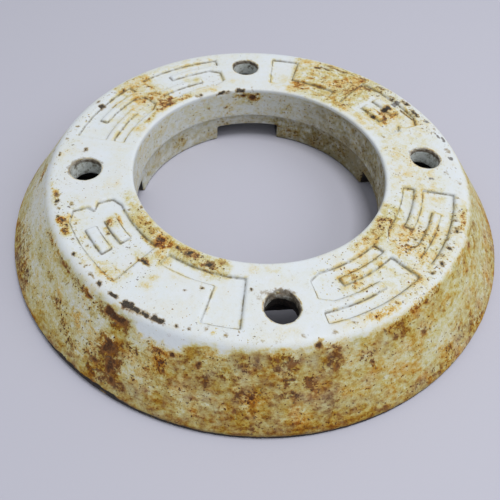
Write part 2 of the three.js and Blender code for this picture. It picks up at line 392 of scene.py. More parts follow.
DARK_TOP = [
    (-168.2, -167, 157.5, 160, .85), (-165.5, -164.6, 156.5, 159.5, .8), (-162.6, -161.6, 159.5, 162.5, .8), (-160.6, -159.4, 156, 158.5, .75), (-156.8, -155.8, 158.5, 160.5, .7), (-153.5, -152.7, 157, 159, .65),
    (-91.5, -88.5, 122.6, 127, .5), (-96, -91, 124.2, 128.5, .36), (-88.5, -85.5, 125, 130, .4), (-97, -95, 128, 136, .3), (-84.9, -84.2, 132, 136, .5),
    (-170.5, -169, 157, 161, .7), (-166.8, -166.2, 159, 160.5, .7), (-164, -163.3, 161.5, 163.5, .65), (-161, -159.2, 158.5, 160.5, .8), (-158.8, -157.6, 155.5, 158.5, .8), (-155.3, -154.8, 160, 161.2, .7), (-151.6, -151, 158, 159.2, .65), (-148.6, -147.6, 161, 164, .75), (-144.9, -144.3, 162, 164, .7), (-159, -157.8, 149, 152, .65), (-150, -149, 149, 152, .6),
    (-112.5, -111.5, 160, 163, .65), (-109, -108, 157, 160, .6), (-104, -103, 160, 163, .7), (-101, -100.4, 156, 158, .6), (-96, -95, 161, 163.5, .6), (-87, -86, 159, 162, .6), (-79, -78, 160, 163, .65), (-74, -73, 157, 160, .6),
    (-62, -61, 157, 160, .7), (-56, -55, 160, 163, .65), (-48, -46.6, 156, 160, .75), (-44.5, -43, 158, 162, .8), (-41.5, -40, 155, 158.5, .75), (-38, -36.8, 157, 161, .8), (-35, -33.8, 154, 157, .7), (-31, -29.5, 157, 161, .75), (-27, -25.6, 154, 158, .7), (-23, -22, 157, 160, .65), (-18, -17, 155, 158, .65),
    (-43, -42, 131, 134, .6), (-39.5, -38.4, 133, 136, .65), (-37, -36, 129, 132, .6), (-33, -32, 133, 136, .6),
    (-137.5, -136, 161, 165, 1.), (-133.5, -130.5, 161.5, 165, 1.), (-129, -126, 160.3, 166.5, 1.), (-126.3, -123.8, 162, 166.5, 1.), (-123.6, -121.3, 161.5, 165.5, 1.), (-141.5, -138.5, 161.5, 163.5, .75),
    (-120.9, -117.6, 161, 166.3, 1.), (-130, -127, 164, 166, .8), (-115.5, -114.5, 161, 163, .8), (-166.3, -164.8, 147.5, 150.5, .8), (-163.5, -162, 152, 154.5, .5),
    (-154.5, -152.8, 128.5, 131.5, .85), (-151, -149.8, 133, 135, .75), (-136.5, -135, 129.5, 132, .9), (-135, -131, 129.5, 132.5, .85), (-156, -154.5, 101.5, 104, .8),
    (-156, -155, 111.5, 113.5, .75), (-137.2, -136, 109, 111, .75), (-130, -126.5, 106.5, 110, .8), (-125, -122, 105, 108.5, .8), (-116, -113, 108, 113, .75),
    (-118, -117, 133.5, 136, .9), (-114, -113, 129.5, 131.5, .9), (-99, -98, 123.5, 126.5, .9), (-92.7, -91.7, 163.5, 166, .6), (-143.5, -143, 160, 163, .8), (-141, -140, 160.5, 164, .75),
    (28, 30.5, 135, 144, 1.), (20, 27, 150.8, 153, .75), (27, 30, 120.5, 123.5, .7), (5.5, 7, 115, 117, .55), (14, 15.5, 111.5, 113.5, .55),
    (61, 64, 149.5, 152.5, .85), (92, 97, 100.5, 103.5, .95), (100, 107, 100, 102.5, .95), (115, 118.5, 102.5, 106, .7), (87.5, 88.5, 101, 106, .6),
    (20, 25, 156, 160, .7), (26, 30, 158, 163, .7), (31, 34, 154, 158, .65), (36, 40, 157, 161, .6), (12.5, 14, 160, 164, .6), (2, 4, 158, 162, .6), (44, 48, 158, 161, .55), (52, 60, 157, 160, .6), (58, 62, 152, 155, .6), (-8, -6, 150, 153, .5), (-12, -10.5, 158, 161, .5), (40, 45, 150.5, 153, .6),
    (129.5, 131, 142, 145, .8), (147, 149.5, 153, 157, .85), (136.5, 138, 153.5, 156, .7), (140.5, 141.2, 157, 159, .7), (146.5, 148, 160.5, 163, .85),
    (160, 161, 158.5, 161.5, .8), (172, 174.5, 160, 162.5, .85), (166, 167, 160, 163, .7), (169.5, 171.5, 141, 143.5, .75), (144, 147, 146, 148.5, .6), (130, 134, 109, 112, .65),
]
# places where the paint is gone to grey primer
GREY_TOP = [(-10.8, -9.3, 135.5, 140, .8), (-2, 0, 156, 161, .9), (6.6, 9.2, 161.6, 164.4, .9), (8.6, 12, 158.6, 161.2, .7), (16, 18, 158, 163, .7), (27, 28.5, 161, 164, .7), (28.5, 31, 149, 158, .7), (56.5, 59, 133, 137.5, .6)]
# the flank, by height: how far the stain has gone all round, then patches
PALE_FLANK = [
    (-153, -138, 24, 43, .38),
    (-157, -133, 14, 46, .5), (-113, -104, 18, 46, .15), (-80, -72, 18, 36, .35), (-104, -96, 32, 40, .3),
    (-176, -158, 16, 50, .35), (-160, -152, 22, 32, .6), (-150, -137, 33, 46, .7), (-145, -130, 33, 47, .6), (-124, -119, 20, 50, .7), (-122, -112, 42, 52, .9), (-121, -114, 20, 40, .4),
    (-112, -107, 10, 20, .4), (-95, -92, 25, 31, .4), (-92, -85, 27, 38, .4), (-90, -86, 12, 22, .5), (-79, -71, 33, 46, .5), (-78, -72, 42, 50, .4),
    (-70, -61, 24, 38, .45), (-60, -50, 18, 40, .35), (-50, -38, 28, 46, .35), (-185, -160, 30, 50, .5), (-175, -150, 38, 48, .3), (-157, -148, 8, 24, .35),
    (-137, -131, 20, 34, .4), (-108, -103, 40, 50, .45),
]
# duller, further gone zones of the flank
DEEP_FLANK = [
    (-127, -115, 24, 38, 1.), (-115, -103, 28, 38, .5), (-114, -104, 44, 51, 1.), (-97, -72, 24, 37, .75), (-85, -62, 38, 52, .65), (-104, -92, 48, 53, .6), (-72, -56, 24, 36, .5),
    (-148, -136, 20, 34, 1.), (-165, -148, 24, 40, .45), (-178, -136, 11, 21, .5), (-178, -163, 8, 15, .8), (-154, -146, 44, 49, .5), (-124, -112, 44, 50, 1.), (-64, -54, 49, 53, .7), (-38, -22, 48, 53, .6),
]
RUST_FLANK = [
    (-176, -158, 8, 22, .5), (-170, -163, 22, 30, .45), (-160, -145, 47.5, 50.5, .7), (-155, -151, 45, 49, .4), (-145, -134, 46, 50, .6), (-152.5, -149.5, 31, 37, .6),
    (-146.5, -143, 25, 31, .6), (-142, -138, 17, 25, .5), (-138.5, -135, 12, 20, .6), (-136, -133, 36, 50, .45), (-133, -126, 20, 27, .5), (-133, -130, 17, 22, .9),
    (-132, -122, 10, 16, .7), (-125, -121, 34, 38, .7), (-160, -156, 8, 20, .5), (-120, -116, 38, 43, .6), (-118, -114.5, 29, 40, .55), (-113, -110, 40, 44, .5),
    (-108, -105.5, 30, 36, .7), (-106, -100, 33, 42, .4), (-102, -96, 40, 48, .35), (-101, -96, 23, 30, .55), (-103, -92, 12, 22, .2), (-99, -95, 7, 12, .45),
    (-93.5, -87.5, 40, 50, .55), (-91.5, -88.5, 38, 42, .45), (-91.5, -89.7, 32, 38, .9), (-90, -88, 35, 38, .9), (-92.5, -87.5, 26, 29, .7), (-87, -84, 30, 37, .8),
    (-85, -80, 16, 26, .25), (-82, -78, 37, 53, .55), (-75, -71, 36, 44, .5), (-72.8, -71, 34, 38, .8), (-84, -72, 7, 14, .25), (-100, -84, 7, 10, .3),
    (-131.5, -125.2, 24.5, 36.5, .7), (-129.5, -124, 13, 28, .75), (-134.5, -124.5, 41.5, 50.0, .75), (-68, -60, 47, 52, .55), (-69, -60, 7, 12, .3), (-66, -60, 40, 47, .35), (-60, -48, 50, 54, .7), (-53.5, -51.5, 14, 19, .8), (-60, -50, 7, 12, .4),
    (-46, -38, 8, 14, .5), (-50, -40, 12, 20, .3), (-28, -22, 40, 50, .3), (-25, -8, 8, 30, .25),
]
GOLD_FLANK = [
    (-62, -50, 30, 50, .5), (-55, -41, 33, 56, 1.), (-43, -29, 37, 57, .9), (-32, -18, 36, 55, .6), (-68, -58, 36, 50, .5), (-50, -38, 14, 30, .45), (-105, -96, 28, 48, .35), (-125, -92, 6, 26, .3),
    (-92, -70, 8, 24, .35), (-165, -140, 34, 50, .4), (-66, -50, 6, 20, .4), (-18, 10, 20, 52, .35), (20, 60, 30, 54, .7), (90, 130, 12, 50, .5),
]
DARK_FLANK = [
    (-132, -126, 45.0, 49.8, 1.), (-129.4, -127, 26.5, 34, 1.), (-129.8, -126, 28.5, 32.5, .7), (-127.5, -125.5, 16, 26, .85), (-131.5, -129, 17.5, 20.5, .75),
    (-126, -124.5, 10, 16, .7), (-139, -136, 47, 49.5, .75), (-150, -145, 47.5, 49, .6), (-114.8, -113.6, 40.5, 43.5, 1.), (-109, -107.8, 37.5, 42, .85),
    (-115.8, -114.8, 30, 33, .65), (-100.5, -99.8, 17.5, 19.5, .75), (-92.5, -91.5, 45, 50, .5), (-90.5, -88, 42, 46, .45), (-91.2, -90.2, 32.5, 35, .7),
    (-89.5, -88.5, 35, 37, .85), (-90, -89, 26, 27.5, .7), (-84, -82.5, 50.5, 54, .95), (-86.3, -85.2, 31, 37, .7), (-80.5, -79, 38, 42, .6), (-72.3, -71.3, 34.5, 36.5, .8),
    (-58.5, -56.5, 34, 38, .7), (-51, -50, 37.5, 39.5, .55), (-32, -30.5, 47, 50, .75), (-40, -37, 8, 10, .6), (-22.5, -20.5, 54, 56, .6),
]
RUST_BORE = [
    (30, 80, 3, 24, .35), (60, 76, 8, 18, .55), (84, 98, 40, 52, .6), (40, 60, 6, 20, .3), (100, 104, 36, 40, .5), (110, 113, 38, 42, .5), (118, 121, 40, 44, .5),
    (126, 132, 8, 18, .5), (20, 45, 30, 50, .25), (66, 74, 30, 44, .3), (-20, 20, 3, 50, .3), (150, 158, 5, 12, .4), (200, 340, 3, 24, .3), (230, 250, 28, 50, .35), (300, 312, 26, 48, .4),
]
DARK_BORE = [(86, 90, 44, 49, .7), (91, 95, 46, 50, .7), (101, 103, 37, 39, .6), (111, 112.5, 39, 41, .6), (66, 69, 10, 14, .5), (72, 75, 12, 15, .5), (52, 54, 26, 30, .4)]

# the unseen back of the flank is stained and worn the same way, from a seeded hand
rng = np.random.default_rng(41)
for _ in range(46):
    c, z, w, h = rng.uniform(-2, 182), rng.uniform(8, 50), rng.uniform(1.0, 5.0), rng.uniform(2.0, 9.0)
    RUST_FLANK.append((c - w, c + w, z - h / 2, z + h / 2, rng.uniform(.3, .9)))
for _ in range(26):
    c, z, w, h = rng.uniform(0, 182), rng.uniform(12, 48), rng.uniform(2.5, 6.0), rng.uniform(6.0, 16.0)
    PALE_FLANK.append((c - w, c + w, z - h / 2, z + h / 2, rng.uniform(.3, .75)))
for _ in range(22):
    c, z, w, h = rng.uniform(-2, 182), rng.uniform(9, 52), rng.uniform(.4, 1.4), rng.uniform(1.5, 6.0)
    DARK_FLANK.append((c - w, c + w, z - h / 2, z + h / 2, rng.uniform(.6, 1.)))

yellow, rust, dark, grey, pale, gold, deep = (np.zeros(len(P)) for _ in range(7))
lay(yellow, on(top_run, YELLOW_TOP), 4.0)
lay(rust, on(top_run, RUST_TOP), 3.0)
lay(rust, on(flank_run, RUST_FLANK), 3.2)
lay(rust, on(bore_run, RUST_BORE), 4.0)
lay(dark, on(top_run, DARK_TOP), 2.2)
lay(dark, on(flank_run, DARK_FLANK), 3.2)
lay(dark, on(bore_run, DARK_BORE), 2.2)
lay(grey, on(top_run, GREY_TOP), 2.4)
lay(pale, on(flank_run, PALE_FLANK), 5.0)
lay(gold, on(flank_run, GOLD_FLANK), 7.0)
lay(deep, on(flank_run, DEEP_FLANK), 5.0)


def round_table(rows):
    """A value by theta, from (theta, value) rows, joined in a loop."""
    t = np.array([a for a, _ in rows], float)
    v = np.array([b for _, b in rows], float)
    t, v = np.concatenate([t - 360, t, t + 360]), np.concatenate([v, v, v])
    return np.interp(TH, t, v)


flank_base = round_table([(-175, .34), (-160, .43), (-148, .48), (-135, .48), (-123, .52), (-115, .60), (-100, .60), (-85, .58), (-70, .48), (-55, .43), (-40, .42), (-20, .40), (0, .38), (40, .46), (80, .40), (120, .48), (150, .36)])
paint_line = round_table([(-180, 50), (-160, 51.5), (-140, 52), (-133, 53), (-126, 53), (-122, 47), (-113, 47.5), (-110, 51), (-100, 52), (-93, 53), (-85, 52.5), (-78, 52), (-68, 53.2), (-55, 53.4), (-42, 54.8), (-28, 54.5), (-10, 53), (30, 52), (70, 51), (110, 53), (140, 50)])
lift = ZZ + 2.6 * N12 + 2.6 * N6 + 1.9 * N3
below = smooth01(3.8, -5.4, lift - paint_line) * on_flank

stain = 0.06 + 0.04 * N30 + 0.045 * N12 + 0.03 * N6
stain = stain * (1 - below) + below * (flank_base + 0.10 * N12 + 0.11 * N6 + 0.08 * N3)
low_run = round_table([(-175, 1.0), (-140, 1.0), (-128, .8), (-120, .0), (-60, .05), (-50, .5), (-40, 1.4), (-20, 1.6), (60, 1.2), (120, 1.2), (150, 1.0)])
foot = round_table([(-175, .7), (-150, .7), (-140, .4), (-128, 1.0), (-118, .3), (-108, .2), (-98, .7), (-80, .8), (-70, 1.3), (-60, 1.0), (-50, .6), (-40, .6), (-20, .6), (60, .8), (120, .8), (150, .8)])
stain += below * (0.08 * low_run * smooth01(28, 8, ZZ) + 0.15 * foot * smooth01(10.5, 6.5, ZZ + 1.2 * N6) + 0.15 * deep * (1 + 0.4 * N6) + 0.12 * gold * (0.85 + 0.5 * N6 + 0.4 * N3))
calm = round_table([(-120, .3), (-20, 1), (70, 1), (100, .3), (180, .1)])
stain = np.where(in_bore, 0.185 - 0.005 * calm + round_table([(-20, 0), (30, .02), (60, .02), (75, 0), (100, 0), (112, .04), (150, .03), (170, 0)]) * np.where((TH > 90) & (ZZ > STEP), 0.4, 1) + (0.06 * N12 + 0.08 * N6 + 0.06 * N3) * (1 - 0.5 * calm), stain)
pale = np.clip(pale * (0.95 + 0.75 * N6 + 0.5 * N3), 0, 1)
scatter = round_table([(-180, .55), (-165, .75), (-100, .7), (-80, .4), (-60, .2), (-20, .15), (40, .4), (150, .5)])
pale = np.maximum(pale, below * scatter * smooth01(0.16, 0.46, 0.8 * N12 + 0.75 * N6 + 0.3 * N3) * smooth01(9, 18, ZZ))
stain -= 0.36 * pale
stain += 0.42 * yellow * (0.9 + 0.5 * N6 + 0.3 * N3)
grain = np.where(on_top > 0.5, 0.9 + 0.5 * N6 + 0.45 * N3, 0.8 + 0.75 * N6 + 0.7 * N3)
stain += np.where(below > 0.5, 0.17, 0.22) * rust * np.clip(grain, 0.1, 1.7)
chip = dark * (0.92 + 0.25 * N3)
stain += 0.25 * smooth01(0.2, 0.7, dark)

# distance to the marking's edges, for the dirt and painted shade along them
edge = MARK_T(P[:, 0], P[:, 1])
edge = np.where(RR < TOP_R - 6, edge, 12.0)
# paint rubbed off round the bolt holes
rub = np.exp(-((hole_d - 0.5) / 1.3) ** 2) * smooth01(H - 4.5, H - 1.0, ZZ) * np.clip(0.6 + 0.9 * N6 + 0.6 * N3, 0, 1.2)
# painted shade and wear: a dark ring just inside each hole's edge, where the rim shades the wall below it; each row is
# (hole, toward degrees, spread, amount)
hole_shade_and_wear = np.zeros(len(P))
depth = H - ZZ
inside = smooth01(2.6, 1.2, hole_d) * smooth01(4.4, 2.6, depth + 0.8 * N3) * smooth01(0.2, 0.9, depth + 0.4 * N3)
for i, toward, spread, amount in ((0, 80, 110, 1.0), (0, 0, 60, .8), (1, 90, 150, 1.0), (2, 60, 60, .9), (2, 110, 60, .6), (2, 180, 60, .4), (3, 20, 70, .9), (3, 75, 40, .85), (3, 135, 60, .6), (3, 185, 40, .5), (0, 200, 60, .3), (1, -30, 60, .6)):
    hx, hy = HOLES[i]
    a = np.degrees(np.arctan2(P[:, 1] - hy, P[:, 0] - hx))
    off = np.abs((a - toward + 180) % 360 - 180)
    here = np.hypot(P[:, 0] - hx, P[:, 1] - hy) < BOLT + 6
    hole_shade_and_wear = np.maximum(hole_shade_and_wear, np.where(here, amount * smooth01(spread, spread * 0.5, off) * inside, 0))
# painted shade: the near hole's wall is darkened all round below its rim
hx, hy = HOLES[3]
near_hole = np.hypot(P[:, 0] - hx, P[:, 1] - hy) < BOLT + 6
hole_shade_and_wear = np.maximum(hole_shade_and_wear, np.where(near_hole, (0.62 + 0.25 * N6 + 0.2 * N3) * smooth01(4.0, 2.2, hole_d) * smooth01(0.1, 0.8, depth + 0.3 * N3), 0))
# and the paint worn thin outside it
mouth = smooth01(4.2, 1.4, hole_d + 1.3 * N6 + 1.0 * N3) * smooth01(H - 3.0, H - 0.5, ZZ)
for i, toward, spread, amount in ((2, 150, 90, .50), (2, 60, 60, .40), (1, 90, 100, .30), (0, 100, 90, .42)):
    hx, hy = HOLES[i]
    off = np.abs((np.degrees(np.arctan2(P[:, 1] - hy, P[:, 0] - hx)) - toward + 180) % 360 - 180)
    here = np.hypot(P[:, 0] - hx, P[:, 1] - hy) < BOLT + 8
    hole_shade_and_wear = np.maximum(hole_shade_and_wear, np.where(here, amount * smooth01(spread, spread * 0.5, off) * mouth, 0))
# painted shade and grime: the bore's colour darkens downward and toward +X, where its wall faces away from the light
bore_grime_and_shade = np.where(in_bore, round_table([(-180, .05), (-90, .42), (0, .70), (30, .72), (50, .62), (62, .24), (80, .07), (105, .02), (130, .0), (160, .0)]) + 0.25 * smooth01(STEP + 1, STEP - 2, ZZ) * round_table([(-180, .4), (0, 2.0), (40, 2.4), (75, 2.2), (90, 1.7), (120, 1.3), (150, 1.1)]), 0.0)
bore_grime_and_shade = np.clip((bore_grime_and_shade + 0.03 * in_bore) * (1 + 0.5 * N12 + 0.5 * N6 + 0.4 * N3), 0, 1.15)
# painted shade and bare iron: a dark band at the foot, set taller on the near-left where the contact shadow falls
foot_band_iron_and_shade_top = round_table([(-180, 3.0), (-165, 3.2), (-150, 4.5), (-138, 7.0), (-124, 7.0), (-119, 4.6), (-105, 3.8), (-85, 3.4), (-75, 3.2), (-60, 2.4), (-40, 1.7), (0, 1.7), (30, 2.5), (150, 2.5)])
foot_band_iron_and_shade = smooth01(0.6, -0.6, ZZ + 0.5 * N6 + 0.4 * N3 - foot_band_iron_and_shade_top) * smooth01(TOP_R, TOP_R + 10, RR)
scrape = np.zeros(len(P))
lay(scrape, on(flank_run, [(-117, -112, 1.2, 3.2, .8), (-97, -93.5, 1, 2.6, .7), (-127.4, -125.6, .5, 4.5, 1.)]), 1.2)
foot_band_iron_and_shade *= 1 - np.clip(scrape * (0.6 + 0.8 * N3), 0, 1)
# the undersides are dark iron too, which also stands in for the deep shade inside the pockets
iron_and_shade_mask = np.maximum(foot_band_iron_and_shade, under)
# painted shade: the near hole's wall turns dark iron below about seven millimetres
iron_and_shade_mask = np.maximum(iron_and_shade_mask, np.where(near_hole, smooth01(2.2, 1.2, hole_d) * smooth01(6.6, 8.2, depth + 1.8 * N6 + 1.6 * N3), 0))
hue = np.clip(0.38 + 0.04 * on_top + 0.38 * N12 + 0.30 * N30 + 0.55 * rust * on_top - 0.14 * on_top * round_table([(28, 0), (38, 1), (58, 1), (66, 0)]) - 0.02 * below - 0.05 * below * smooth01(26, 16, ZZ) - 0.3 * on_top * smooth01(150, 156, RR) * round_table([(-178, 1), (-152, 1), (-142, 0), (150, 0), (165, 1)]) - 0.16 * below * gold - 0.14 * below * round_table([(-178, .5), (-162, 1), (-136, 1), (-124, 0), (150, 0)]), 0, 1)
speck = np.clip(0.10 + 0.14 * on_top * smooth01(113, 120, RR) * round_table([(-66, 0), (-56, 1), (-32, 1), (-24, 0), (0, 0)]) + 0.12 * N30 + 0.10 * N12 + 0.35 * yellow + 0.35 * rust + 0.27 * below + 0.25 * in_bore, 0.0, 0.8)
lay(speck, on(top_run, [(-182, -150, 148, 166, .42), (-180, -155, 104, 150, .2), (-150, -128, 112, 162, .34), (-128, -95, 150, 168, .34), (-78, -60, 104, 165, .38), (-62, -20, 150, 167, .5), (-52, -28, 112, 150, .36), (-30, 10, 104, 165, .3), (10, 64, 148, 167, .5), (14, 64, 104, 150, .3), (96, 150, 104, 165, .26), (124, 180, 150, 166, .38)]), 6.0)

whiter = round_table([(-180, .7), (-165, 1), (-102, 1), (-86, .6), (-70, .05), (-20, 0), (40, .4), (150, .6)])
filmed = below * (1 - 0.92 * whiter * smooth01(0.08, 0.38, pale))

# -------------------------------------------------- the skin's real unevenness
out = 0.20 * N30 + 0.10 * N12 + 0.05 * N6
out += np.clip(stain, 0, 1) * (0.10 * N6 + 0.13 * N3) * (1 - on_top * 0.4)
out -= 0.32 * smooth01(0.42, 0.58, chip) + 0.18 * smooth01(0.3, 0.8, rub)
out += iron_and_shade_mask * (0.12 * N6 + 0.12 * N3)
out *= smooth01(0.0, 1.2, ZZ)
P = P + N * np.clip(out, -0.7, 0.6)[:, None]
P[:, 2] = np.clip(P[:, 2], 0.0, None)

# faces out
t0, t1, t2 = P[QUADS[:, 0]], P[QUADS[:, 1]], P[QUADS[:, 2]]
if (np.cross(t1 - t0, t2 - t0) * N[QUADS[:, 0]]).sum() < 0:
    QUADS = QUADS[:, ::-1]

mesh = bpy.data.meshes.new("casting_skin")
mesh.vertices.add(len(P))
mesh.vertices.foreach_set("co", (P / 1000).astype(np.float32).ravel())
mesh.loops.add(QUADS.size)
mesh.loops.foreach_set("vertex_index", QUADS.astype(np.int32).ravel())
mesh.polygons.add(len(QUADS))
mesh.polygons.foreach_set("loop_start", np.arange(0, QUADS.size, 4, dtype=np.int32))
mesh.polygons.foreach_set("use_smooth", np.ones(len(QUADS), bool))
for name, values in (("stain", stain), ("hue", hue), ("chip", chip), ("grey", grey), ("mark_edge_dirt_and_shade", np.clip(edge, -6, 6)), ("rub", np.clip(hole_d, -14, 12)), ("face", on_top), ("flank", filmed), ("rust", rust), ("bore_grime_and_shade", bore_grime_and_shade), ("iron_and_shade_mask", iron_and_shade_mask), ("wall", in_hole), ("speck", speck), ("ring", hole_shade_and_wear)):
    layer = mesh.attributes.new(name, "FLOAT", "POINT")
    layer.data.foreach_set("value", values.astype(np.float32))
mesh.update(calc_edges=True)
mesh.validate()
print("casting mesh", len(P), "vertices", len(QUADS), "quads")

body = bpy.data.objects.new("weight_casting_skin", mesh)
bpy.context.scene.collection.objects.link(body)
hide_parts("weight_casting")
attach(body, "root")


# ---------------------------------------------------------------- its material
def linear(c):
    return tuple((v / 255 / 12.92 if v <= 10 else ((v / 255 + 0.055) / 1.055) ** 2.4) for v in c) + (1.0,)


class Nodes:
    """A small hand for wiring a node tree."""

    def __init__(self, material):
        material.use_nodes = True
        self.t = material.node_tree
        self.t.nodes.clear()

    def new(self, kind, **props):
        n = self.t.nodes.new(kind)
        for k, v in props.items():
            setattr(n, k, v)
        return n

    def link(self, a, b):
        self.t.links.new(a, b)

    def attr(self, name):
        return self.new("ShaderNodeAttribute", attribute_name=name).outputs["Fac"]

    def put(self, socket, v):
        if isinstance(v, (int, float, tuple)):
            socket.default_value = v
        else:
            self.link(v, socket)

    def math(self, op, a, b=None, c=None, clamp=False):
        n = self.new("ShaderNodeMath", operation=op, use_clamp=clamp)
        for i, v in enumerate((a, b, c)):
            if v is not None:
                self.put(n.inputs[i], v)
        return n.outputs[0]

    def noise(self, coord, scale, detail=2.0, rough=0.55, distortion=0.0):
        n = self.new("ShaderNodeTexNoise")
        self.link(coord, n.inputs["Vector"])
        n.inputs["Scale"].default_value = scale
        n.inputs["Detail"].default_value = detail
        n.inputs["Roughness"].default_value = rough
        n.inputs["Distortion"].default_value = distortion
        return n.outputs["Fac"]

    def step(self, v, e0, e1):
        n = self.new("ShaderNodeMapRange", interpolation_type="SMOOTHSTEP")
        self.put(n.inputs["Value"], v)
        n.inputs["From Min"].default_value = e0
        n.inputs["From Max"].default_value = e1
        return n.outputs["Result"]

    def ramp(self, v, stops):
        n = self.new("ShaderNodeValToRGB")
        self.put(n.inputs["Fac"], v)
        e = n.color_ramp.elements
        while len(e) > 1:
            e.remove(e[-1])
        e[0].position, e[0].color = stops[0][0], linear(stops[0][1])
        for p, c in stops[1:]:
            k = e.new(p)
            k.color = linear(c)
        return n.outputs["Color"]

    def mix(self, fac, a, b, kind="MIX"):
        n = self.new("ShaderNodeMix", data_type="RGBA", blend_type=kind)
        self.put(n.inputs[0], fac)
        self.put(n.inputs[6], a)
        self.put(n.inputs[7], b)
        return n.outputs[2]


mat = bpy.data.materials.new("painted_iron")
k = Nodes(mat)
pos = k.new("ShaderNodeTexCoord").outputs["Object"]
flat = k.new("ShaderNodeVectorMath", operation="MULTIPLY")
k.link(pos, flat.inputs[0])
flat.inputs[1].default_value = (1.0, 1.0, 2.4)
fine = k.noise(pos, 850.0, 3.0, 0.6)                    # about a millimetre
mid = k.noise(pos, 300.0, 4.0, 0.62)                    # about three
broad = k.noise(flat.outputs[0], 130.0, 5.0, 0.66)      # about eight, drawn out round the ring
slow = k.noise(pos, 60.0, 2.0, 0.5)
patch = k.noise(flat.outputs[0], 190.0, 3.0, 0.55)      # about five
face = k.attr("face")
low = k.attr("flank")


def centred(v, amount):
    return k.math("MULTIPLY", k.math("SUBTRACT", v, 0.5), amount)


s0 = k.attr("stain")
# the mottle is faint on clean paint and strong where it is stained
swing = k.step(s0, 0.02, 0.42)
fine_w = k.math("MULTIPLY", k.math("SUBTRACT", fine, 0.5), k.math("MULTIPLY_ADD", low, -0.35, 0.70))
wobble = k.math("ADD", k.math("ADD", fine_w, centred(mid, 0.62)), k.math("ADD", centred(broad, 0.50), centred(patch, 0.45)))
s1 = k.math("MULTIPLY_ADD", wobble, k.math("MULTIPLY_ADD", swing, 0.76, 0.24), s0)
# rust stands in grains about two millimetres across
rusty = k.attr("rust")
grains = k.step(k.math("ADD", k.math("ADD", centred(mid, 0.9), centred(fine, 0.35)), k.math("MULTIPLY", rusty, 0.30)), 0.06, 0.30)
s1 = k.math("MULTIPLY_ADD", k.math("MULTIPLY", grains, k.step(rusty, 0.08, 0.5)), 0.24, s1)
# rust specks, thicker where the paint is already going
spot = k.noise(pos, 560.0, 2.0, 0.5)
level = k.math("MULTIPLY_ADD", k.attr("speck"), -0.26, 0.74)
specks = k.step(k.math("SUBTRACT", spot, level), 0.0, 0.07)
s2 = k.math("MULTIPLY_ADD", specks, k.math("MULTIPLY_ADD", k.step(slow, 0.3, 0.7), 0.45, 0.34), s1)
# dirt and painted shade in the corner of the recessed marking, worn metal round the bolt holes
mark_line_dirt_and_shade = k.step(k.math("ABSOLUTE", k.math("ADD", k.attr("mark_edge_dirt_and_shade"), 0.75)), 0.85, 0.15)
crease_dirt_and_shade = mark_line_dirt_and_shade
crease_dirt_and_shade = k.math("MULTIPLY", crease_dirt_and_shade, k.step(k.math("ADD", broad, centred(mid, 0.6)), 0.36, 0.62))
halo = k.step(k.math("ABSOLUTE", k.math("ADD", k.attr("mark_edge_dirt_and_shade"), 0.6)), 3.0, 0.4)
s3 = k.math("MULTIPLY_ADD", k.math("MULTIPLY", halo, k.step(k.math("ADD", slow, centred(broad, 0.8)), 0.42, 0.66)), 0.24, s2)
ring = k.step(k.math("ABSOLUTE", k.math("SUBTRACT", k.math("ADD", k.attr("rub"), centred(mid, 2.4)), 0.1)), 2.0, 0.5)
ring = k.math("MULTIPLY", ring, k.step(k.math("ADD", broad, centred(fine, 0.5)), 0.34, 0.60))
s4 = k.math("MULTIPLY_ADD", ring, 0.72, s3)
olive = k.ramp(s4, [(0.0, (214, 220, 226)), (0.14, (212, 216, 213)), (0.26, (206, 204, 180)), (0.38, (200, 193, 146)), (0.50, (190, 174, 110)), (0.62, (172, 148, 82)), (0.74, (146, 112, 56)), (0.86, (106, 70, 34)), (1.0, (62, 38, 24))])
orange = k.ramp(s4, [(0.0, (214, 220, 225)), (0.14, (213, 214, 208)), (0.26, (211, 203, 170)), (0.38, (208, 188, 130)), (0.50, (198, 160, 90)), (0.62, (174, 126, 64)), (0.74, (142, 90, 46)), (0.86, (100, 60, 34)), (1.0, (60, 38, 26))])
# the flank has lost its clean white: even its palest places are greyed and greenish
film = k.math("MAXIMUM", s4, k.math("MULTIPLY_ADD", centred(mid, 0.5), 1.0, 0.235))
film_c = k.ramp(film, [(0.10, (205, 207, 195)), (0.24, (199, 197, 172)), (0.36, (192, 187, 141)), (0.48, (183, 168, 105)), (0.60, (168, 143, 76)), (0.72, (145, 111, 53)), (0.84, (120, 82, 38)), (1.0, (96, 62, 28))])
film_o = k.ramp(film, [(0.10, (207, 206, 191)), (0.24, (202, 196, 165)), (0.36, (196, 180, 136)), (0.48, (188, 157, 97)), (0.60, (173, 131, 70)), (0.72, (149, 101, 50)), (0.84, (120, 76, 36)), (1.0, (96, 58, 26))])
# some stained places are bleached and some are strong in colour
offset = k.new("ShaderNodeVectorMath", operation="ADD")
k.link(pos, offset.inputs[0])
offset.inputs[1].default_value = (5.3, 2.9, 4.4)
bleach = k.math("ADD", centred(k.noise(offset.outputs[0], 105.0, 3.0, 0.6), 1.25), k.math("ADD", centred(k.noise(offset.outputs[0], 38.0, 1.5, 0.5), 0.8), centred(patch, 0.35)))
tone = k.step(k.math("ADD", k.math("MULTIPLY_ADD", bleach, 0.45, k.attr("hue")), k.math("ADD", centred(broad, 1.1), centred(slow, 0.9))), 0.10, 0.90)
paint = k.mix(k.attr("flank"), k.mix(tone, olive, orange), k.mix(tone, film_c, film_o))
# the strong places lean to orange, the bleached ones to a greenish grey
vivid = k.new("ShaderNodeHueSaturation")
k.link(k.math("MINIMUM", k.math("MULTIPLY_ADD", bleach, k.math("MULTIPLY_ADD", low, 0.40, 0.42), 1.0), 1.13), vivid.inputs["Saturation"])
k.link(k.math("MULTIPLY_ADD", bleach, -0.022, 0.5), vivid.inputs["Hue"])
k.link(paint, vivid.inputs["Color"])
paint = vivid.outputs[0]
# painted shade and dirt: a thin brown line along the marking's recessed edges
paint = k.mix(k.math("MULTIPLY_ADD", crease_dirt_and_shade, 0.55, k.math("MULTIPLY", mark_line_dirt_and_shade, 0.28)), paint, linear((98, 88, 70)))
